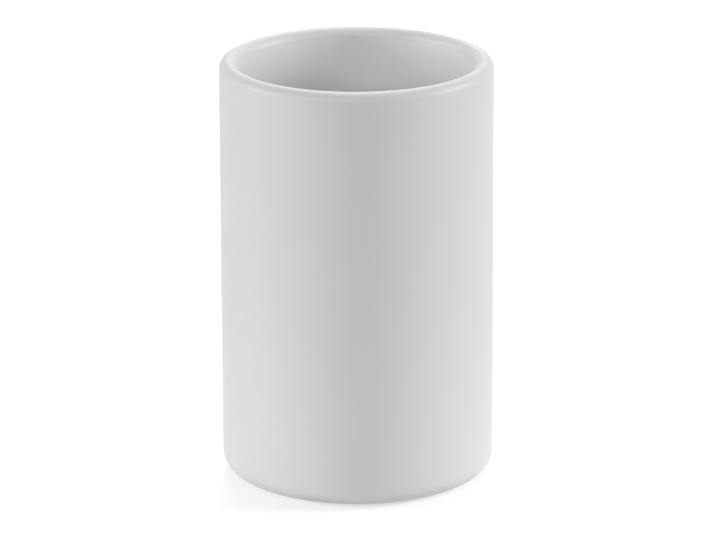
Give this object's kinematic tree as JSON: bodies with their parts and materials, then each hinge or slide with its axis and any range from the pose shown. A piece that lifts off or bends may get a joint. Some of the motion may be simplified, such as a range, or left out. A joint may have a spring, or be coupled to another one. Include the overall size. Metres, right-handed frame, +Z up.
{
  "type": "bathroom tumbler",
  "caption": "Straight-sided ceramic bathroom tumbler with a full-round lip, rounded foot, recessed underside and anti-slip pads.",
  "frame": {"origin": "on the surface that the pads stand on, at the middle of the cup", "axes": "+Z up along the cup's axis; the pads lie on the diagonals between X and Y"},
  "size_m": [0.07, 0.07, 0.1096],
  "materials": {
    "glazed_body": "satin",
    "pad": "matte",
    "adhesive": "satin"
  },
  "bodies": {
    "root": {"cup": "glazed_body", "foot_pad_1": "pad", "foot_pad_2": "pad", "foot_pad_3": "pad", "foot_pad_4": "pad", "adhesive_disc_1": "adhesive", "adhesive_disc_2": "adhesive", "adhesive_disc_3": "adhesive", "adhesive_disc_4": "adhesive"}
  },
  "joints": []
}
